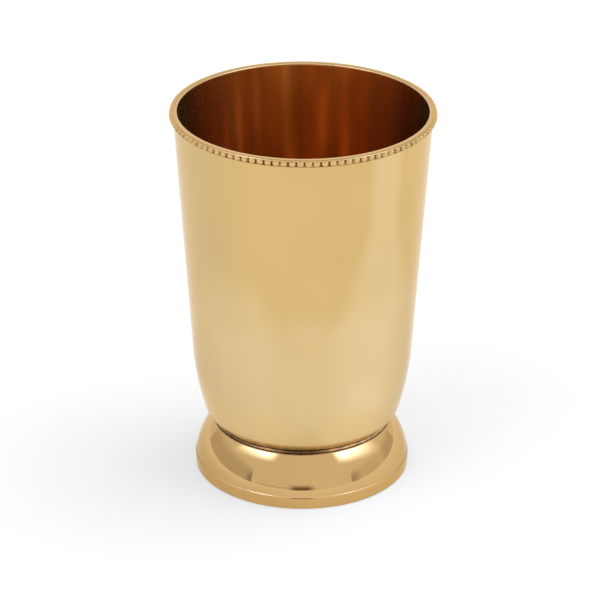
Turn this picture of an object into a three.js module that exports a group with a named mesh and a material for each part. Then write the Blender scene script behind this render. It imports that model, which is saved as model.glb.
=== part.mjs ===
// A brass tumbler: a tapered cup with a beaded rim, brazed onto a low domed foot.
// Millimetres, +Z up. The origin is the centre of the circle that the foot rests on.
import * as THREE from 'three';

// Whole tumbler
const HEIGHT = 120.6; // floor to lip
const BRAZE_FILM = 0.1; // gap that the brazing alloy fills between two pieces
const FACETS = 64; // flat sides round a turned surface

// Cup: a tapered wall that curves in to a flat bottom
const LIP_RADIUS = 39.9; // outside of the wall at the lip
const TAPER_END_RADIUS = 34.55; // outside of the wall where the straight taper ends
const TAPER_END_HEIGHT = 40.6; // floor to the end of the straight taper
const BELLY_CURVE_RADIUS = 87; // outside of the lower wall, seen from the side
const CUP_WALL = 1.3;
const INNER_CORNER_RADIUS = 4.7; // inside corner between the wall and the cup's floor
const LIP_EDGE_RADIUS = 0.3; // rounded inner edge of the lip

// Beaded rim: a wire with a plain top edge and a row of beads under it
const BEAD_PROJECTION = 1.1; // how far the beads stand out past the lip
const RIM_HEIGHT = 2.2; // plain edge and beads together
const PLAIN_EDGE_HEIGHT = 0.35;
const BACK_STRIP_WALL = 0.3; // wire left behind the notches between the beads
const NOTCH_SHOULDER = 0.2; // slope from the plain edge into a notch
const NOTCH_RISE = 0.7; // how much higher the wire ends at a notch than under a bead
const BEAD_COUNT = 104;
const BEAD_STEPS = 4; // facets across a bead
const FIRST_NOTCH_ANGLE = THREE.MathUtils.degToRad(0.6); // from the front, towards +X

// Foot: a hollow dome on an upright band, open underneath
const FOOT_HEIGHT = 16.7; // floor to the seat under the cup
const FOOT_RADIUS = 34.1; // outside of the band
const FOOT_WALL = 1.2;
const BAND_HEIGHT = 4; // upright band round the base
const BAND_STEP = 0.25; // how far the band stands out past the dome
const DOME_CURVE_RADIUS = 24.6; // outside of the dome, seen from the side
const HEM_WIDTH = 2.4; // rolled edge that the foot rests on
const HEM_HEIGHT = 3;
const NECK_RADIUS = 27.7; // outside of the neck under the cup
const NECK_HEIGHT = 0.6; // upright neck between the dome and the seat
const NECK_LEDGE = 0.5; // from the neck out to the top of the dome
const SEAT_WIDTH = 5.8; // flat ring that the cup is brazed to

// Braze ring: the bead of alloy that shows round the neck
const BRAZE_RING_WIDTH = 0.6;

// Values that follow from the sizes above
const taper = Math.atan2(LIP_RADIUS - TAPER_END_RADIUS, HEIGHT - TAPER_END_HEIGHT);
const cupBottom = FOOT_HEIGHT + BRAZE_FILM;
const bottomCornerRadius = INNER_CORNER_RADIUS + CUP_WALL;
const bellyCentre = new THREE.Vector2(
  TAPER_END_RADIUS - BELLY_CURVE_RADIUS * Math.cos(taper),
  TAPER_END_HEIGHT + BELLY_CURVE_RADIUS * Math.sin(taper),
);
const cornerDrop = bellyCentre.y - cupBottom - bottomCornerRadius;
const cornerDistance = BELLY_CURVE_RADIUS - bottomCornerRadius;
const bellyEnd = Math.asin(cornerDrop / cornerDistance);
const cornerCentre = new THREE.Vector2(
  bellyCentre.x + cornerDistance * Math.cos(bellyEnd),
  cupBottom + bottomCornerRadius,
);
const rimRadius = LIP_RADIUS + BEAD_PROJECTION;
const domeTop = new THREE.Vector2(NECK_RADIUS + NECK_LEDGE, FOOT_HEIGHT - NECK_HEIGHT);
const domeBase = new THREE.Vector2(FOOT_RADIUS - BAND_STEP, BAND_HEIGHT);

// Points along an arc, from one angle to another. Anticlockwise is positive.
function arc(centre, radius, from, to, steps) {
  const curve = new THREE.EllipseCurve(centre.x, centre.y, radius, radius, from, to, to < from);
  return curve.getPoints(steps);
}

// A solid turned about the vertical axis from a profile of (radius, height) points.
function turned(profile, facets = FACETS, startAngle = 0) {
  return new THREE.LatheGeometry(profile, facets, startAngle).rotateX(Math.PI / 2);
}

function piece(name, geometry, color, roughness) {
  const material = new THREE.MeshStandardMaterial({ color, roughness, metalness: 1 });
  const mesh = new THREE.Mesh(geometry, material);
  mesh.name = name;
  return mesh;
}

// The cup's bottom corner and lower wall, at a depth in from the outside.
function bellyProfile(depth) {
  return [
    ...arc(cornerCentre, bottomCornerRadius - depth, -Math.PI / 2, -bellyEnd, 5),
    ...arc(bellyCentre, BELLY_CURVE_RADIUS - depth, -bellyEnd, -taper, 5).slice(1),
  ];
}

// The cup: one spun shell, open at the top.
function cupGeometry() {
  const innerLipRadius = LIP_RADIUS - CUP_WALL / Math.cos(taper);
  const edgeCentre = new THREE.Vector2(
    innerLipRadius + LIP_EDGE_RADIUS / Math.cos(taper) - LIP_EDGE_RADIUS * Math.tan(taper),
    HEIGHT - LIP_EDGE_RADIUS,
  );
  return turned([
    new THREE.Vector2(0, cupBottom),
    ...bellyProfile(0),
    new THREE.Vector2(LIP_RADIUS, HEIGHT),
    ...arc(edgeCentre, LIP_EDGE_RADIUS, Math.PI / 2, Math.PI - taper, 2),
    ...bellyProfile(CUP_WALL).reverse(),
    new THREE.Vector2(0, cupBottom + CUP_WALL),
  ]);
}

// The radius of the rim wire's back, which follows the cup's taper a braze film away.
function rimSeatRadius(height) {
  return LIP_RADIUS - (HEIGHT - height) * Math.tan(taper) + BRAZE_FILM / Math.cos(taper);
}

// How full the beads are at an angle round the rim: 0 in a notch, 1 in the middle of a bead.
function beadFullness(angle) {
  const beads = ((angle - FIRST_NOTCH_ANGLE) / (2 * Math.PI)) * BEAD_COUNT;
  const across = THREE.MathUtils.euclideanModulo(beads, 1);
  return Math.sqrt(1 - (2 * across - 1) ** 2);
}

// The rim wire: turned to the section of a full bead, then drawn in and up at the notches.
function rimGeometry() {
  const bottom = HEIGHT - RIM_HEIGHT;
  const edgeBottom = HEIGHT - PLAIN_EDGE_HEIGHT;
  const beadTop = edgeBottom - NOTCH_SHOULDER;
  const backRadius = rimSeatRadius(bottom) + BACK_STRIP_WALL;
  const beadDepth = rimRadius - backRadius;
  const underBead = new THREE.EllipseCurve(
    backRadius, beadTop, beadDepth, beadTop - bottom, -Math.PI / 2, 0,
  );
  const wire = turned([
    new THREE.Vector2(rimSeatRadius(bottom), bottom),
    ...underBead.getPoints(3),
    new THREE.Vector2(rimRadius, edgeBottom),
    new THREE.Vector2(rimRadius, HEIGHT),
    new THREE.Vector2(rimSeatRadius(HEIGHT), HEIGHT),
    new THREE.Vector2(rimSeatRadius(bottom), bottom),
  ], BEAD_COUNT * BEAD_STEPS, FIRST_NOTCH_ANGLE);

  const points = wire.attributes.position;
  for (let i = 0; i < points.count; i += 1) {
    const point = new THREE.Vector3().fromBufferAttribute(points, i);
    const belowEdge = point.z < edgeBottom - NOTCH_SHOULDER / 2;
    const notch = belowEdge ? 1 - beadFullness(Math.atan2(point.x, -point.y)) : 0;
    const radius = Math.hypot(point.x, point.y);
    const wall = radius - rimSeatRadius(point.z);
    const drawnIn = notch * Math.max(0, wall - BACK_STRIP_WALL);
    const raised = (notch * NOTCH_RISE * (edgeBottom - point.z)) / (edgeBottom - bottom);
    const newRadius = rimSeatRadius(point.z + raised) + wall - drawnIn;
    const stretch = newRadius / radius;
    points.setXYZ(i, point.x * stretch, point.y * stretch, point.z + raised);
  }
  return wire;
}

// The centre of the dome's arc, which runs from the band to the neck's ledge.
function domeCentre() {
  const chord = domeTop.clone().sub(domeBase);
  const halfway = domeBase.clone().addScaledVector(chord, 0.5);
  const inward = new THREE.Vector2(-chord.y, chord.x).normalize();
  return halfway.addScaledVector(inward, Math.sqrt(DOME_CURVE_RADIUS ** 2 - chord.lengthSq() / 4));
}

// The foot: one spun shell with a hollow dome, a rolled hem below and a flat seat above.
function footGeometry() {
  const centre = domeCentre();
  const innerRadius = DOME_CURVE_RADIUS - FOOT_WALL;
  const angleOf = (point) => point.clone().sub(centre).angle();
  const innerAngleAt = (height) => Math.asin((height - centre.y) / innerRadius);
  const seatInside = NECK_RADIUS - SEAT_WIDTH;
  const seatUnderside = FOOT_HEIGHT - FOOT_WALL;
  const hemInside = FOOT_RADIUS - HEM_WIDTH;
  return turned([
    new THREE.Vector2(hemInside, 0),
    new THREE.Vector2(FOOT_RADIUS, 0),
    new THREE.Vector2(FOOT_RADIUS, BAND_HEIGHT),
    ...arc(centre, DOME_CURVE_RADIUS, angleOf(domeBase), angleOf(domeTop), 6),
    new THREE.Vector2(NECK_RADIUS, domeTop.y),
    new THREE.Vector2(NECK_RADIUS, FOOT_HEIGHT),
    new THREE.Vector2(seatInside, FOOT_HEIGHT),
    new THREE.Vector2(seatInside, seatUnderside),
    ...arc(centre, innerRadius, innerAngleAt(seatUnderside), innerAngleAt(HEM_HEIGHT), 6),
    new THREE.Vector2(hemInside, HEM_HEIGHT),
    new THREE.Vector2(hemInside, 0),
  ]);
}

// The braze ring: a half-oval section in the groove between the neck, the dome and the cup.
function brazeRingGeometry() {
  const inside = NECK_RADIUS + BRAZE_FILM;
  const bottom = domeTop.y + BRAZE_FILM;
  const cupReach = bottomCornerRadius + BRAZE_FILM;
  const top = cornerCentre.y - Math.sqrt(cupReach ** 2 - (inside - cornerCentre.x) ** 2);
  const halfHeight = (top - bottom) / 2;
  const oval = new THREE.EllipseCurve(
    inside, bottom + halfHeight, BRAZE_RING_WIDTH, halfHeight, -Math.PI / 2, Math.PI / 2,
  );
  return turned([...oval.getPoints(6), new THREE.Vector2(inside, bottom)]);
}

const tumbler = new THREE.Group();
tumbler.add(piece('cup_body', cupGeometry(), 0xdbb879, 0.16));
tumbler.add(piece('beaded_rim', rimGeometry(), 0xd4ab68, 0.2));
tumbler.add(piece('foot', footGeometry(), 0xcfa76d, 0.1));
tumbler.add(piece('neck_braze_ring', brazeRingGeometry(), 0x9c7038, 0.35));

export default tumbler;
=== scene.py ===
"""Brass tumbler with a beaded rim on a domed foot, dressed for a studio picture."""

import math

import bpy
from bpy.props import FloatProperty, FloatVectorProperty, IntProperty, PointerProperty
from bpy.types import Operator, Panel, PropertyGroup
from mathutils import Matrix, Vector


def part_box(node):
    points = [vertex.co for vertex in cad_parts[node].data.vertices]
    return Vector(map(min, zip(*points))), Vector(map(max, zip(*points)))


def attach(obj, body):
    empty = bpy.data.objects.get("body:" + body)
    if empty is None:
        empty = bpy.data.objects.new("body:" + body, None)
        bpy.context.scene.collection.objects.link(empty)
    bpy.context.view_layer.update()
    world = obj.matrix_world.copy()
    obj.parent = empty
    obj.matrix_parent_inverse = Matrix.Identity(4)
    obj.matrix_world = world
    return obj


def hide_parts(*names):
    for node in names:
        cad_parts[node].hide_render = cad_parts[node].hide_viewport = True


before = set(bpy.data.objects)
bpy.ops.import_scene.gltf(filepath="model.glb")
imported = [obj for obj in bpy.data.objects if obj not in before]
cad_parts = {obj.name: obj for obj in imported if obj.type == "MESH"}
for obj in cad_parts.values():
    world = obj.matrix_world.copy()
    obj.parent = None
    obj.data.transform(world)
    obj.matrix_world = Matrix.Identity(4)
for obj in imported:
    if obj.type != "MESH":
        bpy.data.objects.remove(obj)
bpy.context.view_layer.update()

bl_info = {
    "name": "Brass Tumbler",
    "version": (1, 0, 0),
    "blender": (4, 5, 0),
    "location": "View3D > Sidebar > Tumbler",
    "description": "Makes a brass tumbler with a beaded rim and a domed foot, on a studio floor",
    "category": "Add Mesh",
}

BODY = "root"
COLUMNS = 416  # faces round a turned piece
BEAD_COLUMNS = 16  # faces across one bead
FULL_TURN = 2 * math.pi
SQUARE = math.pi / 2
SAME_PLACE = 1e-7  # points closer than this are one point
HAIR = 1e-6  # a distance too small to see
FINE_LINES = 1e-7  # depth of the turning lines in polished brass
COARSE_LINES = 1e-6  # the same in unpolished brass
SLIGHT = 0.03  # how far the tone of polished brass wanders
NO_TINT = (1, 1, 1, 1)


# Properties

def length(name, default, description):
    """A property that holds a size in metres."""
    return FloatProperty(
        name=name, description=description, default=default, min=0.0, unit="LENGTH", precision=5
    )


def share(name, default, description):
    """A property that holds a number from 0 to 1."""
    return FloatProperty(
        name=name, description=description, default=default, min=0.0, max=1.0, subtype="FACTOR"
    )


def colour(name, default, description):
    """A property that holds a linear colour."""
    return FloatVectorProperty(
        name=name, description=description, default=default, size=3, min=0.0, max=1.0, subtype="COLOR"
    )


class CupSizes(PropertyGroup):
    """Sizes of the spun cup."""

    lip_height: length("Lip height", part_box("cup_body")[1].z, "Floor to lip")
    lip_radius: length("Lip radius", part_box("cup_body")[1].x, "Outside of the wall at the lip")
    bottom_height: length("Bottom height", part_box("cup_body")[0].z, "Floor to the cup's underside")
    taper_end_radius: length("Taper end radius", 0.03455, "Outside of the wall where the taper ends")
    taper_end_height: length("Taper end height", 0.0406, "Floor to the end of the straight taper")
    belly_curve: length("Belly curve", 0.087, "Radius of the lower wall, seen from the side")
    wall: length("Wall", 0.0013, "Thickness of the sheet")
    inner_corner: length("Inner corner", 0.0047, "Inside corner between wall and floor")
    lip_edge: length("Lip edge", 0.0002, "Rounding of the lip's inner edge")
    lip_crown: length("Lip crown", 0.00008, "How far the lip falls away to its inner and outer edge")


class RimSizes(PropertyGroup):
    """Sizes of the beaded wire round the lip."""

    radius: length("Radius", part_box("beaded_rim")[1].x, "Over the beads")
    bottom_height: length("Bottom height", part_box("beaded_rim")[0].z, "Floor to the underside of a bead")
    plain_edge: length("Plain edge", 0.0004, "Height of the plain edge over the beads")
    edge_inset: length("Edge inset", 0.00025, "How far the plain edge lies behind the beads")
    edge_round: length("Edge round", 0.0002, "Rounding of the wire's top edge")
    back_strip: length("Back strip", 0.0002, "Wire left between the beads")
    bead_middle: length("Bead middle", 0.00105, "From the lip down to the middle of a bead")
    bead_top: share("Bead top", 0.75, "How far a bead's top rounds over before it meets the edge")
    # Painted shade: the dark of the gaps thins out up the beads' sides.
    patina_shade_depth: length("Patina depth", 0.0007, "How far the dark patina thins out up a bead's side")
    edge_darkening: share("Edge patina", 0.18, "How dark the side of the plain edge is")
    bead_count: IntProperty(name="Beads", description="Beads round the rim", default=104, min=3)
    first_notch: FloatProperty(
        name="First notch", description="From the front, towards +X", default=math.radians(0.6),
        subtype="ANGLE"
    )


class FootSizes(PropertyGroup):
    """Sizes of the spun foot."""

    radius: length("Radius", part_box("foot")[1].x, "Outside of the band")
    height: length("Height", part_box("foot")[1].z, "Floor to the seat under the cup")
    wall: length("Wall", 0.0012, "Thickness of the sheet")
    band_height: length("Band height", 0.004, "Upright band round the base")
    band_step: length("Band step", 0.00025, "How far the band stands out past the dome")
    dome_curve: length("Dome curve", 0.0246, "Radius of the dome, seen from the side")
    hem_width: length("Hem width", 0.0024, "Rolled edge that the foot rests on")
    hem_height: length("Hem height", 0.003, "Height of the rolled edge inside")
    neck_radius: length("Neck radius", 0.0277, "Outside of the neck under the cup")
    neck_height: length("Neck height", 0.0006, "Upright neck between dome and cup")
    neck_ledge: length("Neck ledge", 0.0005, "From the neck out to the top of the dome")
    seat_width: length("Seat width", 0.0058, "Flat ring that the cup is brazed to")
    edge_round: length("Edge round", 0.0003, "Rounding of the rolled edge")
    step_round: length("Step round", 0.00012, "Rounding of the step over the band")
    bevel_height: length("Bevel height", 0.00055, "Height of the bevel along the band's top")
    bevel_round: length("Bevel round", 0.0008, "Rounding between the band and its bevel")
    bevel_lean: FloatProperty(
        name="Bevel lean", description="How far the bevel leans in", default=math.radians(15.5),
        subtype="ANGLE"
    )


class BrazeSizes(PropertyGroup):
    """Sizes of the braze ring round the neck."""

    bottom_height: length("Bottom height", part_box("neck_braze_ring")[0].z, "Floor to the ring")
    top_height: length("Top height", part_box("neck_braze_ring")[1].z, "Floor to the top of the ring")
    radius: length("Radius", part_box("neck_braze_ring")[1].x, "Over the ring")
    width: length("Width", 0.0006, "From the neck out to the ring's outside")
    wander: length("Wander", 0.0002, "How far the ring's outside wanders in and out")


class BrassFinishes(PropertyGroup):
    """Colours and polish of the brass."""

    cup_upper: colour("Cup, upper wall", (0.63, 0.43, 0.172), "Satin polish on the upper wall")
    # Painted reflection: a paler tone low on the wall.
    cup_lower_reflection: colour("Cup, lower wall", (0.67, 0.485, 0.24), "Paler satin polish low on the wall")
    # Painted highlight: two pale upright bands on the wall.
    cup_band_highlight: colour("Cup, pale bands", (0.745, 0.575, 0.32), "Two upright bands on the wall")
    # Painted highlight: brighter low on the wall at the left and right.
    cup_base_highlight: colour("Cup, base", (0.75, 0.53, 0.245), "Brighter brass low on the wall, left and right")
    # Painted shade: darker brass at the sides of the wall.
    cup_side_shade: colour("Cup, sides", (0.575, 0.41, 0.19), "Duller brass at the sides of the wall")
    cup_inside: colour("Cup inside", (0.75, 0.532, 0.325), "Brass inside the cup, as spun")
    # Painted reflections: darker, redder and paler places inside the cup.
    inside_dark_reflection: colour("Inside, dark", (0.56, 0.43, 0.29), "Darker streaks inside the cup")
    inside_red_reflection: colour("Inside, red", (0.84, 0.5, 0.27), "Redder streaks inside the cup")
    inside_pale_reflection: colour("Inside, pale", (0.86, 0.72, 0.53), "Paler patch inside the cup")
    lip: colour("Lip", (0.66, 0.42, 0.21), "Top of the lip")
    # Painted highlight: the top of the lip is paler at the front.
    lip_front_highlight: colour("Lip, worn", (0.83, 0.51, 0.25), "Top of the lip at the front, worn paler")
    # Painted highlight: a brighter tone on the lip's inner edge.
    lip_edge: colour("Lip edge", (0.8, 0.56, 0.29), "Bright inner edge of the lip")
    rim: colour("Rim", (0.66, 0.44, 0.19), "Polished beads")
    # Real patina in the bead gaps, also used as painted shade up the beads and under the rim.
    patina_and_shade: colour("Patina", (0.1, 0.055, 0.012), "Dark patina between the beads")
    foot: colour("Foot", (0.6, 0.39, 0.162), "Mirror polish on the foot")
    foot_band: colour("Foot band", (0.61, 0.37, 0.135), "Mirror polish on the foot's band")
    # Painted highlight over some wear: the step's edge is paler towards the front, and keeps the neck's
    # darker tone elsewhere.
    foot_edge_highlight: colour("Foot edge", (0.9, 0.72, 0.5), "Worn edge of the step over the band")
    foot_underside: colour("Foot underside", (0.6, 0.4, 0.17), "Unpolished brass under the foot")
    neck: colour("Neck", (0.45, 0.27, 0.12), "Neck, dulled by the brazing heat")
    # Soot, also used as painted shade at the front of the neck, the braze and the wall above them.
    soot_and_shade: colour("Soot", (0.12, 0.06, 0.025), "Soot on the braze and next to it")
    braze: colour("Braze", (0.52, 0.34, 0.18), "Braze alloy")
    haze: colour("Haze", (0.52, 0.34, 0.1), "Thin dull film inside the cup")
    cup_grazing: colour("Cup, edge on", (0.96, 0.9, 0.8), "Tint of the cup's outside seen edge on")
    lip_grazing: colour("Lip, edge on", (0.95, 0.86, 0.68), "Tint of the lip seen edge on")
    rim_grazing: colour("Rim, edge on", (0.95, 0.82, 0.58), "Tint of the beads seen edge on")
    foot_grazing: colour("Foot, edge on", (0.92, 0.84, 0.7), "Tint of the foot seen edge on")
    cup_roughness: share("Cup roughness", 0.16, "Roughness of the cup's outside")
    inside_roughness: share("Inside roughness", 0.08, "Roughness inside the cup")
    foot_roughness: share("Foot roughness", 0.05, "Roughness of the foot")
    lip_roughness: share("Lip roughness", 0.25, "Roughness of the lip")
    neck_roughness: share("Neck roughness", 0.4, "Roughness of the neck")
    underside_roughness: share("Underside roughness", 0.3, "Roughness under the cup and the foot")


class StageSettings(PropertyGroup):
    """Camera and lights."""

    camera_place: FloatVectorProperty(
        name="Camera place", description="Where the camera stands", size=3,
        default=(-0.00075, -0.8453, 0.462), subtype="TRANSLATION"
    )
    camera_tilt: FloatProperty(
        name="Camera tilt", description="Down from level", default=math.radians(25.653), subtype="ANGLE"
    )
    camera_roll: FloatProperty(
        name="Camera roll", description="Turn about the line of sight", default=math.radians(0.229),
        subtype="ANGLE"
    )
    focal_length: FloatProperty(
        name="Focal length", description="On a sensor 36 mm wide", default=178.98, unit="CAMERA"
    )
    left_light: FloatProperty(name="Left light", description="Strength of the left light", default=0.5)
    right_light: FloatProperty(
        name="Right light", description="Strength of the right light", default=0.69
    )
    fill: FloatProperty(name="Fill", description="Strength of the light from all round", default=0.35)
    floor_white: FloatProperty(
        name="Floor white", description="Share of the floor's white that no shadow darkens", default=0.5
    )
    floor_reflected: FloatProperty(
        name="Floor, reflected", description="The same share for the floor in reflections", default=0.555
    )


# Outlines, as lists of (radius, height)

def arc(centre, radius, start, end, steps):
    """Points on an arc. Angles are in radians, anticlockwise."""
    angles = [start + (end - start) * i / steps for i in range(steps + 1)]
    return [(centre[0] + radius * math.cos(a), centre[1] + radius * math.sin(a)) for a in angles]


def rounded(before, corner, after, radius, steps=5):
    """Points on the arc that rounds off a corner between its two neighbours."""
    corner_at = Vector(corner)
    to_before = (Vector(before) - corner_at).normalized()
    to_after = (Vector(after) - corner_at).normalized()
    half_angle = to_before.angle(to_after) / 2
    centre = corner_at + (to_before + to_after).normalized() * (radius / math.sin(half_angle))
    run = radius / math.tan(half_angle)
    first = corner_at + to_before * run - centre
    last = corner_at + to_after * run - centre
    start = math.atan2(first.y, first.x)
    return arc(centre, radius, start, start - first.angle_signed(last), steps)


class CupShape:
    """The cup's outline, worked out from its sizes."""

    def __init__(self, sizes):
        self.sizes = sizes
        run = sizes.lip_radius - sizes.taper_end_radius
        rise = sizes.lip_height - sizes.taper_end_height
        self.taper = math.atan2(run, rise)
        self.belly_centre = (
            sizes.taper_end_radius - sizes.belly_curve * math.cos(self.taper),
            sizes.taper_end_height + sizes.belly_curve * math.sin(self.taper),
        )
        self.corner = sizes.inner_corner + sizes.wall
        corner_height = sizes.bottom_height + self.corner
        reach = sizes.belly_curve - self.corner
        self.belly_end = math.asin((self.belly_centre[1] - corner_height) / reach)
        self.flat_radius = self.belly_centre[0] + reach * math.cos(self.belly_end)
        self.corner_centre = (self.flat_radius, corner_height)

    def wall_radius(self, height):
        """Radius of the tapered wall's outside."""
        return self.sizes.lip_radius - (self.sizes.lip_height - height) * math.tan(self.taper)

    def crown(self, end_radius):
        """Points along the lip, from the top of the wall's outside to an edge."""
        sizes = self.sizes
        steps = 6
        shares = [i / steps for i in range(steps + 1)]
        run = end_radius - sizes.lip_radius
        return [(sizes.lip_radius + run * t, sizes.lip_height - sizes.lip_crown * t * t) for t in shares]

    def belly(self, depth):
        """Corner and lower wall, at a depth in from the outside."""
        sizes = self.sizes
        corner = arc(self.corner_centre, self.corner - depth, -SQUARE, -self.belly_end, 20)
        wall = arc(self.belly_centre, sizes.belly_curve - depth, -self.belly_end, -self.taper, 24)
        return corner + wall[1:]

    def taper_wall(self, depth):
        """Straight wall from the end of the taper up to just under the lip."""
        sizes = self.sizes
        steps = 24
        bottom = sizes.taper_end_height
        top = sizes.lip_height - 4 * sizes.lip_edge
        heights = [bottom + (top - bottom) * (i + 1) / steps for i in range(steps)]
        return [(self.wall_radius(z) - depth / math.cos(self.taper), z) for z in heights]


class BeadRow:
    """The beads' shape, worked out from the rim's sizes."""

    def __init__(self, sizes, cup):
        self.sizes = sizes
        self.cup = cup
        lip = cup.sizes.lip_height
        self.edge_bottom = lip - sizes.plain_edge
        self.edge_radius = sizes.radius - sizes.edge_inset
        self.middle = lip - sizes.bead_middle
        self.depth = sizes.radius - self.strip(self.middle)

    def strip(self, height):
        """Radius of the plain strip between the beads."""
        return self.cup.wall_radius(height) + self.sizes.back_strip

    def swell(self, angle, radius, height):
        """Swells a point on the wire's face out into a bead."""
        if radius < self.cup.wall_radius(height) + HAIR or height > self.edge_bottom - HAIR:
            return radius, height
        across = 2 * ((angle - self.sizes.first_notch) / FULL_TURN * self.sizes.bead_count % 1.0) - 1
        below = max(0.0, (self.middle - height) / (self.middle - self.sizes.bottom_height))
        above = max(0.0, (height - self.middle) / (self.edge_bottom - self.middle))
        rounding = (self.sizes.bead_top * above) ** 2
        fullness = math.sqrt(max(0.0, 1 - across ** 2 - below ** 2 - rounding))
        bead = min(self.sizes.radius, self.strip(height) + self.depth * fullness)
        run_out = self.strip(height) + (self.edge_radius - self.strip(height)) * above ** 4
        return max(radius, bead, run_out), height

    def outline(self):
        """The wire's section in a gap between two beads."""
        sizes = self.sizes
        bottom = sizes.bottom_height
        edge_radius = self.edge_radius
        steps = 22
        shares = [1 - math.cos(SQUARE * i / steps) for i in range(steps)]
        heights = [bottom + (self.edge_bottom - bottom) * part for part in shares]
        foot_of_wire = (self.cup.wall_radius(bottom), bottom)
        crown = self.cup.crown(edge_radius)
        return [
            foot_of_wire,
            *((self.strip(z), z) for z in heights),
            (edge_radius, self.edge_bottom),
            *rounded((edge_radius, self.edge_bottom), crown[-1], crown[-3], sizes.edge_round),
            *reversed(crown[:-2]),
            foot_of_wire,
        ]

    def angles(self):
        """Angles round the rim, closer together in the gaps between the beads."""
        pitch = FULL_TURN / self.sizes.bead_count
        shares = [(1 - math.cos(math.pi * i / BEAD_COLUMNS)) / 2 for i in range(BEAD_COLUMNS)]
        starts = [self.sizes.first_notch + pitch * bead for bead in range(self.sizes.bead_count)]
        return [start + pitch * part for start in starts for part in shares]

    def patina_and_shade(self, point):
        """How dark the patina and painted shade are at a point on the wire. They are heaviest deep in the
        gaps, thin out up the beads' sides, and reach further up towards the left and right.
        """
        sizes = self.sizes
        radius = math.hypot(point.x, point.y)
        below_edge = (self.edge_bottom - point.z) / (self.edge_bottom - sizes.bottom_height)
        if below_edge <= 0.001:
            return sizes.edge_darkening if radius > self.edge_radius - 10 * HAIR else 0.0
        heaviness = min(1.0, 0.25 + 1.4 * below_edge)
        # Painted shade reaches further up the beads towards the left and right.
        reach = sizes.patina_shade_depth * (1 + abs(point.x) / sizes.radius)
        return heaviness * max(0.0, 1 - (radius - self.strip(point.z)) / reach) ** 1.5


def foot_outline(sizes):
    """The foot's band, step, dome, neck and inside, as stretches of one outline."""
    neck_radius = sizes.neck_radius
    dome_top = Vector((neck_radius + sizes.neck_ledge, sizes.height - sizes.neck_height))
    dome_base = Vector((sizes.radius - sizes.band_step, sizes.band_height))
    chord = dome_top - dome_base
    inward = Vector((-chord.y, chord.x)).normalized()
    reach = math.sqrt(sizes.dome_curve ** 2 - chord.length_squared / 4)
    centre = (dome_base + dome_top) / 2 + inward * reach
    inner_curve = sizes.dome_curve - sizes.wall
    seat_inside = neck_radius - sizes.seat_width
    seat_underside = sizes.height - sizes.wall
    hem_inside = sizes.radius - sizes.hem_width

    def dome_angle(point):
        return math.atan2(point.y - centre.y, point.x - centre.x)

    def inner_angle(height):
        return math.asin((height - centre.y) / inner_curve)

    base_corner = (sizes.radius, 0.0)
    bevel_foot = (sizes.radius, sizes.band_height - sizes.bevel_height)
    bevel_top = (sizes.radius - sizes.bevel_height * math.tan(sizes.bevel_lean), sizes.band_height)
    hem_corner = (hem_inside, 0.0)
    hem_top = (hem_inside, sizes.hem_height)
    dome = arc(centre, sizes.dome_curve, dome_angle(dome_base), dome_angle(dome_top), 48)
    hollow = arc(centre, inner_curve, inner_angle(seat_underside), inner_angle(sizes.hem_height), 32)
    step = rounded(bevel_foot, bevel_top, tuple(dome_base), sizes.step_round)
    band = [
        *rounded(hem_corner, base_corner, bevel_foot, sizes.edge_round),
        *rounded(base_corner, bevel_foot, bevel_top, sizes.bevel_round),
        step[0],
    ]
    neck = [
        dome[-1],
        (neck_radius, dome_top.y),
        (neck_radius, sizes.height),
        (seat_inside, sizes.height),
        (seat_inside, seat_underside),
    ]
    inside = [
        *hollow,
        *rounded(hollow[-1], hem_top, hem_corner, sizes.edge_round),
        *rounded(hem_top, hem_corner, base_corner, sizes.edge_round),
        band[0],
    ]
    return band, step[1:], dome[:-1], neck, inside


# Meshes

def even_turn():
    """Even angles round the axis."""
    return [FULL_TURN * column / COLUMNS for column in range(COLUMNS)]


def turned(name, stretches, angles, materials, bend=None, crease=30):
    """A piece turned about the vertical axis. Each stretch of its outline takes one material.

    A face has the material of the outline's point that it ends at.
    """
    columns = len(angles)
    outline, finishes = [], []
    for finish, points in enumerate(stretches):
        for point in points:
            if not outline or math.dist(point, outline[-1]) > SAME_PLACE:
                outline.append(point)
                finishes.append(finish)
    closed = math.dist(outline[0], outline[-1]) < SAME_PLACE
    if closed:
        outline.pop()
    vertices, rings = [], []
    for radius, height in outline:
        if radius < SAME_PLACE:
            rings.append([len(vertices)] * columns)
            vertices.append((0.0, 0.0, height))
            continue
        rings.append(range(len(vertices), len(vertices) + columns))
        for angle in angles:
            r, z = bend(angle, radius, height) if bend else (radius, height)
            vertices.append((r * math.sin(angle), -r * math.cos(angle), z))
    pairs = list(zip(rings, rings[1:] + rings[:1] if closed else rings[1:]))
    faces, face_finishes = [], []
    for index, (low, high) in enumerate(pairs):
        finish = finishes[index + 1]
        for column in range(columns):
            following = (column + 1) % columns
            corners = [low[column], low[following], high[following], high[column]]
            faces.append(list(dict.fromkeys(corners)))
            face_finishes.append(finish)
    mesh = bpy.data.meshes.new(name)
    mesh.from_pydata(vertices, [], faces)
    for material in materials:
        mesh.materials.append(material)
    mesh.polygons.foreach_set("material_index", face_finishes)
    mesh.shade_smooth()
    mesh.set_sharp_from_angle(angle=math.radians(crease))
    mesh.validate()
    mesh.update()
    piece = bpy.data.objects.new(name, mesh)
    bpy.context.scene.collection.objects.link(piece)
    return piece


def seat(piece, node):
    """Puts a piece on the body in place of its CAD node."""
    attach(piece, BODY)
    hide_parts(node)


# Finishes

def add(tree, kind, inputs=None, **settings):
    """Adds a node. Each input is a plain value, or a socket to link from."""
    node = tree.nodes.new(kind)
    for name, value in settings.items():
        setattr(node, name, value)
    for name, value in (inputs or {}).items():
        if isinstance(value, bpy.types.NodeSocket):
            tree.links.new(value, node.inputs[name])
        else:
            node.inputs[name].default_value = value
    return node


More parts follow.
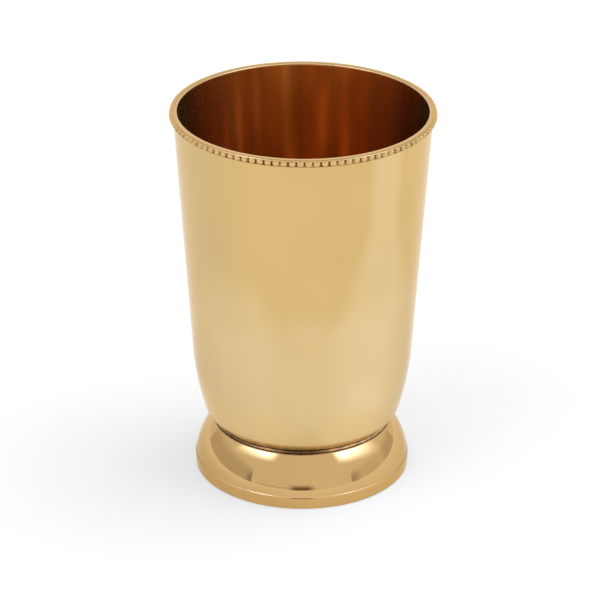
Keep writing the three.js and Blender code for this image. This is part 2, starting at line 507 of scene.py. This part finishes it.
def new_material(name):
    """An empty node material."""
    material = bpy.data.materials.new(name)
    material.use_nodes = True
    material.node_tree.nodes.clear()
    return material, material.node_tree


def finish_surface(tree, shader):
    """Links a shader to the material's output."""
    add(tree, "ShaderNodeOutputMaterial", {"Surface": shader.outputs[0]})


def object_place(tree):
    """Where each point lies on the object."""
    return add(tree, "ShaderNodeTexCoord").outputs["Object"]


def height_of(tree):
    """How high each point lies."""
    return add(tree, "ShaderNodeSeparateXYZ", {"Vector": object_place(tree)}).outputs["Z"]


def stretched_noise(tree, scale, detail, roughness=0.5):
    """Noise over the object, with its own scale along each axis in cycles per metre."""
    scaled = add(tree, "ShaderNodeMapping", {"Vector": object_place(tree), "Scale": scale})
    place = scaled.outputs["Vector"]
    settings = {"Vector": place, "Scale": 1.0, "Detail": detail, "Roughness": roughness}
    return add(tree, "ShaderNodeTexNoise", settings).outputs["Fac"]


def outward_direction(tree):
    """The level direction from the axis out to each point."""
    sockets = {0: object_place(tree), 1: (1, 1, 0)}
    level = add(tree, "ShaderNodeVectorMath", sockets, operation="MULTIPLY").outputs[0]
    return add(tree, "ShaderNodeVectorMath", {0: level}, operation="NORMALIZE").outputs[0]


def streaks_round_axis(tree, scale, detail):
    """Noise that changes only with the angle round the axis, so it runs in upright streaks."""
    settings = {"Vector": outward_direction(tree), "Scale": scale, "Detail": detail}
    return add(tree, "ShaderNodeTexNoise", settings).outputs["Fac"]


def ramped(tree, value, start, end, low=0.0, high=1.0):
    """A number that runs softly from low to high as a value runs from start to end."""
    settings = {"Value": value, "From Min": start, "From Max": end, "To Min": low, "To Max": high}
    return add(tree, "ShaderNodeMapRange", settings, interpolation_type="SMOOTHSTEP").outputs["Result"]


def between(tree, noise, low, high):
    """A number that runs from low to high as noise runs over its usual range."""
    return ramped(tree, noise, 0.3, 0.7, low, high)


def worked_out(tree, operation, first, second):
    """The result of a sum on two numbers."""
    return add(tree, "ShaderNodeMath", {0: first, 1: second}, operation=operation).outputs[0]


def times(tree, first, second):
    """The product of two numbers."""
    return worked_out(tree, "MULTIPLY", first, second)


def halfway(tree, first, second):
    """The mean of two numbers."""
    return times(tree, worked_out(tree, "ADD", first, second), 0.5)


def mixed(tree, share_of_second, first, second):
    """A colour between two others."""
    settings = {0: share_of_second, 6: first, 7: second}
    return add(tree, "ShaderNodeMix", settings, data_type="RGBA").outputs[2]


def two_tones(tree, noise, tone, change):
    """A colour that wanders a little to either side of a tone."""
    darker = (*(c * (1 - change) for c in tone), 1)
    paler = (*(min(1.0, c * (1 + change)) for c in tone), 1)
    return mixed(tree, between(tree, noise, 0.0, 1.0), darker, paler)


def clouded(tree, tone, change):
    """A tone with slow clouds in it."""
    return two_tones(tree, stretched_noise(tree, (30, 30, 20), 2), tone, change)


def facing_cosine(tree, azimuth):
    """The cosine of the angle between the wall's direction and an azimuth in degrees."""
    sockets = {0: outward_direction(tree), 1: toward(azimuth, 0)}
    return add(tree, "ShaderNodeVectorMath", sockets, operation="DOT_PRODUCT").outputs["Value"]


def facing_share(tree, azimuth, half_width, most=1.0):
    """Most where the wall lies at an azimuth, fading to 0 at a half width. Both are in degrees."""
    return ramped(tree, facing_cosine(tree, azimuth), math.cos(math.radians(half_width)), 1.0, 0.0, most)


def spreading_share(tree, azimuth, upper_half_width, lower_half_width, most):
    """A facing share whose half width grows down the wall."""
    upper, lower = (math.cos(math.radians(width)) for width in (upper_half_width, lower_half_width))
    edge = ramped(tree, height_of(tree), 0.098, 0.055, upper, lower)
    return ramped(tree, facing_cosine(tree, azimuth), edge, 1.0, 0.0, most)


def strongest(tree, *shares):
    """The largest of several numbers."""
    result = shares[0]
    for following in shares[1:]:
        result = worked_out(tree, "MAXIMUM", result, following)
    return result


def places(tree, *marks):
    """The largest of several facing shares, each given as azimuth, half width and most."""
    return strongest(tree, *(facing_share(tree, *mark) for mark in marks))


def height_share(tree, start, end, wander):
    """0 at one height and 1 at another, with an edge that wanders up and down."""
    shift = between(tree, stretched_noise(tree, (60, 60, 60), 2), -wander, wander)
    return ramped(tree, worked_out(tree, "ADD", height_of(tree), shift), start, end)


def turned_brass(tree, tone, roughness, line_depth=FINE_LINES, stretch=0.0, grazing=NO_TINT):
    """Brass turned on a lathe, with fine rings and faint upright streaks in its polish."""
    rings = stretched_noise(tree, (15, 15, 4000), 3)
    wear = halfway(tree, rings, streaks_round_axis(tree, 6, 3))
    bump = add(tree, "ShaderNodeBump", {"Height": rings, "Strength": 1.0, "Distance": line_depth})
    tangent = add(tree, "ShaderNodeTangent", direction_type="RADIAL", axis="Z")
    return add(tree, "ShaderNodeBsdfPrincipled", {
        "Base Color": tone,
        "Metallic": 1.0,
        "Roughness": times(tree, between(tree, wear, 0.85, 1.15), roughness),
        "Specular Tint": grazing,
        "Normal": bump.outputs["Normal"],
        "Anisotropic": stretch,
        "Tangent": tangent.outputs["Tangent"],
    })


def plain_brass(name, tone, roughness, line_depth=FINE_LINES, change=SLIGHT, grazing=NO_TINT):
    """Brass of one tone, with slow clouds in it."""
    material, tree = new_material(name)
    shader = turned_brass(tree, clouded(tree, tone, change), roughness, line_depth, grazing=grazing)
    finish_surface(tree, shader)
    return material


def front_highlight_brass(name, tone, highlight_tone, half_width, roughness, grazing):
    """Brass that is painted paler towards the front, as a highlight."""
    material, tree = new_material(name)
    front = facing_share(tree, 0, half_width)
    highlighted = mixed(tree, front, clouded(tree, tone, SLIGHT), (*highlight_tone, 1))
    finish_surface(tree, turned_brass(tree, highlighted, roughness, grazing=grazing))
    return material


def scorched_and_shaded_brass(name, finishes):
    """The neck: darkened a little all round by the brazing heat, and more at the front and front left as
    painted shade.
    """
    material, tree = new_material(name)
    heat_and_shade = strongest(tree, places(tree, (-2, 18), (-50, 34, 0.75)), 0.35)
    dark = times(tree, heat_and_shade, between(tree, streaks_round_axis(tree, 40, 3), 0.25, 1.0))
    tone = mixed(tree, dark, (*finishes.neck, 1), (*finishes.soot_and_shade, 1))
    finish_surface(tree, turned_brass(tree, tone, finishes.neck_roughness, COARSE_LINES))
    return material


def painted_side_shade(tree, low):
    """Painted shade: where the wall is darker, on its left and low down on both sides."""
    left = times(tree, facing_share(tree, -67, 46), ramped(tree, low, 0.4, 1, 1, 0.45))
    low_edges = times(tree, places(tree, (64, 20, 0.6), (-75, 42)), low)
    return strongest(tree, left, low_edges)


def highlight_bands(tree):
    """Painted highlights: two soft upright bands on the wall, and a paler place low on the right one."""
    fading = ramped(tree, height_of(tree), 0.088, 0.06)
    left = times(tree, spreading_share(tree, -38, 8, 32, 0.36), fading)
    right = spreading_share(tree, 40, 11, 29, 0.48)
    low_highlight = times(tree, facing_share(tree, 36, 19, 0.85), height_share(tree, 0.06, 0.034, 0.004))
    return strongest(tree, right, left, low_highlight)


def heat_marks_and_shade(tree):
    """Patchy dark marks just above the braze: a little heat discolouring all round, and painted shade at
    the front and front left.
    """
    heat_and_shade = strongest(tree, places(tree, (-40, 45, 0.6), (-2, 20, 0.6)), 0.15)
    patchy = times(tree, heat_and_shade, between(tree, streaks_round_axis(tree, 7, 2), 0.2, 1.0))
    return times(tree, patchy, ramped(tree, height_of(tree), 0.0208, 0.0192))


def satin_wall(name, finishes, rim_bottom):
    """The cup's outside: golden above, paler below as a painted reflection, with painted highlights in two
    upright bands and low at the left and right, painted shade at the sides and under the rim, and heat
    marks with painted shade above the braze.
    """
    material, tree = new_material(name)
    height = height_of(tree)
    upper = clouded(tree, finishes.cup_upper, 0.02)
    lower = clouded(tree, finishes.cup_lower_reflection, 0.02)
    # Paler low down: painted reflection.
    low = height_share(tree, 0.078, 0.052, 0.006)
    wall = mixed(tree, low, upper, lower)
    side_shaded = mixed(tree, painted_side_shade(tree, low), wall, (*finishes.cup_side_shade, 1))
    # Painted highlights in two upright bands.
    banded = mixed(tree, highlight_bands(tree), side_shaded, (*finishes.cup_band_highlight, 1))
    base = height_share(tree, 0.034, 0.02, 0.001)
    golden = mixed(tree, times(tree, base, 0.75), banded, upper)
    # Painted highlight low on the wall at the left and right.
    base_highlight_places = places(tree, (-42, 46, 0.9), (32, 28, 0.6))
    base_highlight = times(tree, base_highlight_places, height_share(tree, 0.038, 0.026, 0.001))
    plain = mixed(tree, base_highlight, golden, (*finishes.cup_base_highlight, 1))
    # Painted shadow: a dark, broken line on the wall just under the beads.
    under_rim = ramped(tree, height, rim_bottom - 0.0004, rim_bottom - 0.00005)
    rim_shadow = times(tree, under_rim, between(tree, streaks_round_axis(tree, 30, 1), 0.1, 0.8))
    rimmed = mixed(tree, rim_shadow, plain, (*finishes.patina_and_shade, 1))
    # Heat marks and painted shade just above the braze.
    tone = mixed(tree, heat_marks_and_shade(tree), rimmed, (*finishes.soot_and_shade, 1))
    smooth = finishes.cup_roughness
    roughness = ramped(tree, height, 0.0185, 0.0235, 2.8 * smooth, smooth)
    grazing = (*finishes.cup_grazing, 1)
    finish_surface(tree, turned_brass(tree, tone, roughness, 2 * FINE_LINES, 0.3, grazing))
    return material


def streaked_inside(name, finishes):
    """The cup's inside, left with upright streaks from the spinning tool and a thin haze, and with painted
    reflections: darker, redder and paler streaks and patches at fixed places round it.
    """
    material, tree = new_material(name)
    streaks = halfway(tree, streaks_round_axis(tree, 5, 1), streaks_round_axis(tree, 16, 2))
    spun = two_tones(tree, streaks, finishes.cup_inside, 0.04)
    mottle = between(tree, stretched_noise(tree, (250, 250, 120), 3), 0.8, 1.0)
    pale_places = times(tree, places(tree, (-122, 42, 0.7), (-139, 17)), mottle)
    pale = mixed(tree, pale_places, spun, (*finishes.inside_pale_reflection, 1))
    red_places = places(tree, (171, 5, 0.6), (-171, 3, 0.2), (160, 4, 0.5))
    red = mixed(tree, red_places, pale, (*finishes.inside_red_reflection, 1))
    dark_places = places(
        tree, (180, 6, 0.5), (143, 8, 0.6), (120, 34, 0.7), (75, 7, 0.35), (-157, 5, 0.9), (-172, 6, 0.6)
    )
    tone = mixed(tree, dark_places, red, (*finishes.inside_dark_reflection, 1))
    brass = turned_brass(tree, tone, finishes.inside_roughness, stretch=0.4)
    film = add(tree, "ShaderNodeBsdfDiffuse", {"Color": (*finishes.haze, 1)})
    hazy = strongest(tree, places(tree, (-134, 40, 0.075), (116, 36, 0.035)), 0.01)
    sockets = {0: times(tree, hazy, mottle), 1: brass.outputs[0], 2: film.outputs[0]}
    finish_surface(tree, add(tree, "ShaderNodeMixShader", sockets))
    return material


def beaded_brass(name, finishes):
    """Polished beads with dark patina and painted shade in the gaps, heavier in some than in others."""
    material, tree = new_material(name)
    clouds = stretched_noise(tree, (60, 60, 60), 2)
    depth = add(tree, "ShaderNodeAttribute", attribute_name="gap").outputs["Fac"]
    heavier = between(tree, stretched_noise(tree, (260, 260, 200), 1), 0.4, 1.6)
    dark = worked_out(tree, "MINIMUM", times(tree, depth, heavier), 1.0)
    polished = two_tones(tree, clouds, finishes.rim, 0.04)
    shader = add(tree, "ShaderNodeBsdfPrincipled", {
        "Base Color": mixed(tree, dark, polished, (*finishes.patina_and_shade, 1)),
        "Metallic": 1.0,
        "Roughness": ramped(tree, dark, 0.0, 1.0, 0.2, 0.5),
        "Specular Tint": (*finishes.rim_grazing, 1),
    })
    finish_surface(tree, shader)
    return material


def braze_alloy(name, finishes):
    """Braze alloy: dull and darkened in patches, with painted shade at the front and front left."""
    material, tree = new_material(name)
    patches = stretched_noise(tree, (300, 300, 600), 4, 0.6)
    grain = stretched_noise(tree, (2500, 2500, 2500), 2)
    # Painted shade at the front and front left.
    front_shade = places(tree, (-1, 22, 0.95), (-48, 32, 0.8))
    alloy = two_tones(tree, patches, finishes.braze, 0.5)
    bump = add(tree, "ShaderNodeBump", {"Height": grain, "Strength": 1.0, "Distance": 0.00003})
    shader = add(tree, "ShaderNodeBsdfPrincipled", {
        "Base Color": mixed(tree, front_shade, alloy, (*finishes.soot_and_shade, 1)),
        "Metallic": 1.0,
        "Roughness": between(tree, patches, 0.25, 0.45),
        "Normal": bump.outputs["Normal"],
    })
    finish_surface(tree, shader)
    return material


# Stage

def seen_directly(tree):
    """1 for rays from the camera, reflections and glass, which see the white studio."""
    path = add(tree, "ShaderNodeLightPath").outputs
    seen = worked_out(tree, "MAXIMUM", path["Is Camera Ray"], path["Is Glossy Ray"])
    return worked_out(tree, "MAXIMUM", seen, path["Is Transmission Ray"])


def floor_material(white, reflected_white):
    """White studio floor, which keeps the tumbler's shadow."""
    material, tree = new_material("studio_floor")
    material.cycles.emission_sampling = "NONE"
    camera_ray = add(tree, "ShaderNodeLightPath").outputs["Is Camera Ray"]
    level = ramped(tree, camera_ray, 0, 1, reflected_white, white)
    strength = times(tree, seen_directly(tree), level)
    matte = add(tree, "ShaderNodeBsdfDiffuse", {"Color": (0.9, 0.9, 0.9, 1)})
    glow = add(tree, "ShaderNodeEmission", {"Color": (1, 1, 1, 1), "Strength": strength})
    finish_surface(tree, add(tree, "ShaderNodeAddShader", {0: matte.outputs[0], 1: glow.outputs[0]}))
    return material


def screen_material(name, strength, fades, tint):
    """An even glow that thins out towards the left, right, bottom and top edges."""
    material, tree = new_material(name)
    glow = add(tree, "ShaderNodeEmission", {"Color": (*tint, 1), "Strength": strength})
    place = add(tree, "ShaderNodeTexCoord").outputs["UV"]
    across = add(tree, "ShaderNodeSeparateXYZ", {"Vector": place})
    left, right, bottom, top = fades
    edges = (("X", 0, left), ("X", 1, 1 - right), ("Y", 0, bottom), ("Y", 1, 1 - top))
    shader = glow
    for axis, edge, full in edges:
        if edge == full:
            continue
        cover = ramped(tree, across.outputs[axis], edge, full)
        clear = add(tree, "ShaderNodeBsdfTransparent")
        shader = add(tree, "ShaderNodeMixShader", {0: cover, 1: clear.outputs[0], 2: shader.outputs[0]})
    finish_surface(tree, shader)
    return material


def screen(name, corners, strength, fades=(0, 0, 0, 0), tint=(1, 1, 1)):
    """A flat screen that only reflections see. Its corners run from bottom left to top left."""
    mesh = bpy.data.meshes.new(name)
    mesh.from_pydata(corners, [], [(0, 1, 2, 3)])
    mesh.uv_layers.new(name="across").data.foreach_set("uv", (0, 0, 1, 0, 1, 1, 0, 1))
    mesh.materials.append(screen_material(name, strength, fades, tint))
    piece = bpy.data.objects.new(name, mesh)
    bpy.context.scene.collection.objects.link(piece)
    piece.visible_camera = False
    piece.visible_diffuse = False
    piece.visible_shadow = False


def toward(azimuth, elevation):
    """A direction from the tumbler. Azimuth is in degrees from the front, towards +X."""
    turn, rise = math.radians(azimuth), math.radians(elevation)
    return Vector((math.sin(turn) * math.cos(rise), -math.cos(turn) * math.cos(rise), math.sin(rise)))


def upright(first, last, bottom, top):
    """Corners of an upright screen over the line between two points on the floor."""
    return [(*first, bottom), (*last, bottom), (*last, top), (*first, top)]


def far_corners(distance, *directions):
    """Points at a distance from the tumbler, one for each pair of azimuth and elevation."""
    return [toward(azimuth, elevation) * distance for azimuth, elevation in directions]


def soft_sun(name, azimuth, elevation, strength, spread=55):
    """Even light from one side. Reflections show the screens instead of it."""
    lamp = bpy.data.lights.new(name, "SUN")
    lamp.energy = strength
    lamp.angle = math.radians(spread)
    holder = bpy.data.objects.new(name, lamp)
    holder.rotation_euler = toward(azimuth, elevation).to_track_quat("Z", "Y").to_euler()
    holder.visible_glossy = False
    bpy.context.scene.collection.objects.link(holder)


def studio_world(fill):
    """White for the camera and for reflections, and a softer fill for everything else."""
    world = bpy.data.worlds.new("studio")
    bpy.context.scene.world = world
    world.use_nodes = True
    tree = world.node_tree
    tree.nodes.clear()
    soft = add(tree, "ShaderNodeBackground", {"Color": (1, 1, 1, 1), "Strength": fill})
    white = add(tree, "ShaderNodeBackground", {"Color": (1, 1, 1, 1), "Strength": 1.0})
    sockets = {0: seen_directly(tree), 1: soft.outputs[0], 2: white.outputs[0]}
    sky = add(tree, "ShaderNodeMixShader", sockets)
    add(tree, "ShaderNodeOutputWorld", {"Surface": sky.outputs[0]})


def studio_floor(white, reflected_white):
    """A wide floor, a hair lower than the foot."""
    half = 4.0
    mesh = bpy.data.meshes.new("floor")
    corners = [(-half, -half, 0), (half, -half, 0), (half, half, 0), (-half, half, 0)]
    mesh.from_pydata(corners, [], [(0, 1, 2, 3)])
    mesh.materials.append(floor_material(white, reflected_white))
    floor = bpy.data.objects.new("floor", mesh)
    floor.location.z = -0.00005
    bpy.context.scene.collection.objects.link(floor)


def studio_screens():
    """The screens that the brass reflects: side walls, two soft boxes, a sky and two dark strips."""
    warm = (1.0, 0.96, 0.92)
    daylight = (0.57, 0.69, 1.0)
    amber = (1.0, 0.75, 0.45)
    left_edge = upright((-1.48, -0.75), (-1.48, -1.09), 0, 0.5)
    left_wall = upright((-1.5, 0.2), (-1.5, -1.09), 0, 0.75)
    far_left_wall = upright((-1.52, 1.2), (-1.52, -0.9), 0, 0.75)
    right_edge = upright((1.48, -1.09), (1.48, -0.6), 0, 0.5)
    right_wall = upright((1.5, -1.09), (1.5, 0.25), 0, 0.6)
    far_right_wall = upright((1.52, 0.0), (1.52, 1.2), 0, 0.55)
    left_box = far_corners(1.2, (-92, 17), (-31, 33), (-31, 62), (-92, 54))
    right_box = far_corners(1.2, (42, 27), (106, 5), (106, 50), (42, 62))
    back_sky = [(-1.6, 1.4, 0.66), (1.6, 1.4, 0.66), (1.6, 0.7, 3.0), (-1.6, 0.7, 3.0)]
    dark_strip = upright((-0.42, -1.45), (0.42, -1.45), 0, 0.25)
    thin_strip = upright((-2.0, -1.46), (0.9, -1.46), 0.05, 0.08)
    screen("left_edge_screen", left_edge, 0.42, (0.85, 0, 0, 0.65), warm)
    screen("left_screen", left_wall, 0.72, (0.7, 0, 0, 0.6), warm)
    screen("far_left_screen", far_left_wall, 0.74, (0.1, 0, 0, 0.6), warm)
    screen("right_edge_screen", right_edge, 0.58, (0, 0.8, 0, 0.65), warm)
    screen("right_screen", right_wall, 0.86, (0, 0.25, 0, 0.6), warm)
    screen("far_right_screen", far_right_wall, 0.72, (0.35, 0.1, 0, 0.6), warm)
    screen("left_softbox", left_box, 12, (1, 0.32, 0.55, 0), daylight)
    screen("right_softbox", right_box, 8, (0.32, 0.7, 0.5, 0), daylight)
    screen("back_screen", back_sky, 0.6, (0.1, 0.1, 0.15, 0))
    screen("front_gap", dark_strip, 0.2, (0.35, 0.35, 0, 0.8), amber)
    screen("front_line", thin_strip, 0.55, (0.2, 0.3, 0.2, 0.2))


def photo_camera(stage):
    """The camera at the photo's viewing angle."""
    lens = bpy.data.cameras.new("photo_camera")
    lens.lens = stage.focal_length
    lens.sensor_width = 36.0
    camera = bpy.data.objects.new("photo_camera", lens)
    tilt = Matrix.Rotation(SQUARE - stage.camera_tilt, 4, "X")
    roll = Matrix.Rotation(stage.camera_roll, 4, "Z")
    camera.matrix_world = Matrix.Translation(stage.camera_place) @ tilt @ roll
    bpy.context.scene.collection.objects.link(camera)
    bpy.context.scene.camera = camera


# Operators

class TUMBLER_OT_cup(Operator):
    """Make the cup: one spun shell with a flat lip"""

    bl_idname = "tumbler.cup"
    bl_label = "Cup"

    def execute(self, context):
        sizes = context.scene.tumbler_cup
        finishes = context.scene.tumbler_finishes
        shape = CupShape(sizes)
        inner_lip = sizes.lip_radius - sizes.wall / math.cos(shape.taper)
        inner_wall = shape.belly(sizes.wall) + shape.taper_wall(sizes.wall)
        crown = shape.crown(inner_lip)
        lip_edge = rounded(crown[-3], crown[-1], inner_wall[-1], sizes.lip_edge)
        belly = shape.belly(0)
        underside = [(0.0, sizes.bottom_height), belly[0]]
        outside = [*belly[1:], *shape.taper_wall(0), crown[0]]
        inside = list(reversed(inner_wall))
        floor = [(0.0, sizes.bottom_height + sizes.wall)]
        polish = finishes.lip_roughness
        grazing = (*finishes.lip_grazing, 1)
        materials = [
            plain_brass("cup_underside_brass", finishes.cup_upper, finishes.underside_roughness),
            satin_wall("cup_satin_brass", finishes, context.scene.tumbler_rim.bottom_height),
            front_highlight_brass("lip_brass", finishes.lip, finishes.lip_front_highlight, 120, polish, grazing),
            # The lip's inner edge takes a brighter tone: painted highlight.
            plain_brass("lip_edge_brass", finishes.lip_edge, polish, grazing=grazing),
            streaked_inside("cup_inside_brass", finishes),
            plain_brass("cup_floor_brass", finishes.cup_inside, finishes.inside_roughness),
        ]
        stretches = [underside, outside, crown[:-2], lip_edge, inside, floor]
        piece = turned("cup_shell", stretches, even_turn(), materials)
        seat(piece, "cup_body")
        return {"FINISHED"}


class TUMBLER_OT_rim(Operator):
    """Make the beaded wire round the lip"""

    bl_idname = "tumbler.rim"
    bl_label = "Beaded rim"

    def execute(self, context):
        row = BeadRow(context.scene.tumbler_rim, CupShape(context.scene.tumbler_cup))
        material = beaded_brass("rim_beaded_brass", context.scene.tumbler_finishes)
        piece = turned("bead_wire", [row.outline()], row.angles(), [material], row.swell, 50)
        depths = [row.patina_and_shade(vertex.co) for vertex in piece.data.vertices]
        piece.data.attributes.new("gap", "FLOAT", "POINT").data.foreach_set("value", depths)
        seat(piece, "beaded_rim")
        return {"FINISHED"}


class TUMBLER_OT_foot(Operator):
    """Make the foot: one spun shell with a hollow dome"""

    bl_idname = "tumbler.foot"
    bl_label = "Foot"

    def execute(self, context):
        sizes = context.scene.tumbler_foot
        finishes = context.scene.tumbler_finishes
        stretches = foot_outline(sizes)
        polish = finishes.foot_roughness
        rough = finishes.underside_roughness
        grazing = (*finishes.foot_grazing, 1)
        materials = [
            plain_brass("foot_band_brass", finishes.foot_band, polish, grazing=grazing),
            # The step's edge: painted highlight at the front over the neck's darker tone.
            front_highlight_brass("foot_edge_brass", finishes.neck, finishes.foot_edge_highlight, 75, polish, grazing),
            plain_brass("foot_mirror_brass", finishes.foot, polish, grazing=grazing),
            scorched_and_shaded_brass("neck_scorched_brass", finishes),
            plain_brass("foot_underside_brass", finishes.foot_underside, rough, COARSE_LINES, 0.1),
        ]
        piece = turned("foot_dome", stretches, even_turn(), materials)
        seat(piece, "foot")
        return {"FINISHED"}


class TUMBLER_OT_braze(Operator):
    """Make the braze ring that shows round the neck"""

    bl_idname = "tumbler.braze"
    bl_label = "Braze ring"

    def execute(self, context):
        sizes = context.scene.tumbler_braze
        finishes = context.scene.tumbler_finishes
        inside = sizes.radius - sizes.width
        half = (sizes.top_height - sizes.bottom_height) / 2
        middle = sizes.bottom_height + half
        steps = 12
        turns = [-SQUARE + math.pi * i / steps for i in range(steps + 1)]
        oval = [(inside + sizes.width * math.cos(a), middle + half * math.sin(a)) for a in turns]

        def wander(angle, radius, height):
            """Lets the ring's outside and underside run in and out as melted alloy does."""
            slow, quick, fine = math.sin(5 * angle + 1), math.sin(13 * angle), math.sin(29 * angle + 2)
            wave = (slow + 0.6 * quick + 0.5 * fine) / 2.1
            drawn_in = sizes.wander * (1 + wave) / 2
            lift = drawn_in * (sizes.top_height - height) / (2 * half)
            return radius - drawn_in * (radius - inside) / sizes.width, height + lift

        material = braze_alloy("dark_braze", finishes)
        piece = turned("braze_bead", [[*oval, oval[0]]], even_turn(), [material], wander)
        seat(piece, "neck_braze_ring")
        return {"FINISHED"}


class TUMBLER_OT_stage(Operator):
    """Make the floor, the lights and the camera"""

    bl_idname = "tumbler.stage"
    bl_label = "Stage"

    def execute(self, context):
        stage = context.scene.tumbler_stage
        scene = context.scene
        scene.view_settings.view_transform = "Standard"
        scene.cycles.max_bounces = 20
        scene.cycles.glossy_bounces = 16
        scene.cycles.min_light_bounces = 16
        scene.cycles.caustics_reflective = False
        studio_world(stage.fill)
        studio_floor(stage.floor_white, stage.floor_reflected)
        soft_sun("right_light", azimuth=97, elevation=57, strength=stage.right_light)
        soft_sun("left_light", azimuth=-50, elevation=40, strength=stage.left_light)
        studio_screens()
        photo_camera(stage)
        return {"FINISHED"}


class TUMBLER_PT_sidebar(Panel):
    """The tumbler's sizes and operators in the sidebar"""

    bl_idname = "TUMBLER_PT_sidebar"
    bl_label = "Tumbler"
    bl_space_type = "VIEW_3D"
    bl_region_type = "UI"
    bl_category = "Tumbler"

    def draw(self, context):
        for settings, operator in PIECES:
            box = self.layout.box()
            box.operator(operator)
            group = getattr(context.scene, settings)
            for name in group.__annotations__:
                box.prop(group, name)
        finishes = self.layout.box()
        for name in context.scene.tumbler_finishes.__annotations__:
            finishes.prop(context.scene.tumbler_finishes, name)


PIECES = (
    ("tumbler_cup", "tumbler.cup"),
    ("tumbler_rim", "tumbler.rim"),
    ("tumbler_foot", "tumbler.foot"),
    ("tumbler_braze", "tumbler.braze"),
    ("tumbler_stage", "tumbler.stage"),
)
GROUPS = {
    "tumbler_cup": CupSizes,
    "tumbler_rim": RimSizes,
    "tumbler_foot": FootSizes,
    "tumbler_braze": BrazeSizes,
    "tumbler_finishes": BrassFinishes,
    "tumbler_stage": StageSettings,
}
CLASSES = (
    *GROUPS.values(),
    TUMBLER_OT_cup,
    TUMBLER_OT_rim,
    TUMBLER_OT_foot,
    TUMBLER_OT_braze,
    TUMBLER_OT_stage,
    TUMBLER_PT_sidebar,
)


def register():
    """Adds the classes, and their settings to the scene."""
    for cls in CLASSES:
        bpy.utils.register_class(cls)
    for name, group in GROUPS.items():
        setattr(bpy.types.Scene, name, PointerProperty(type=group))


def unregister():
    """Takes the settings and the classes away again."""
    for name in GROUPS:
        delattr(bpy.types.Scene, name)
    for cls in reversed(CLASSES):
        bpy.utils.unregister_class(cls)


def main():
    """Makes every piece and the stage."""
    register()
    bpy.ops.tumbler.cup()
    bpy.ops.tumbler.rim()
    bpy.ops.tumbler.foot()
    bpy.ops.tumbler.braze()
    bpy.ops.tumbler.stage()


if __name__ == "__main__":
    main()
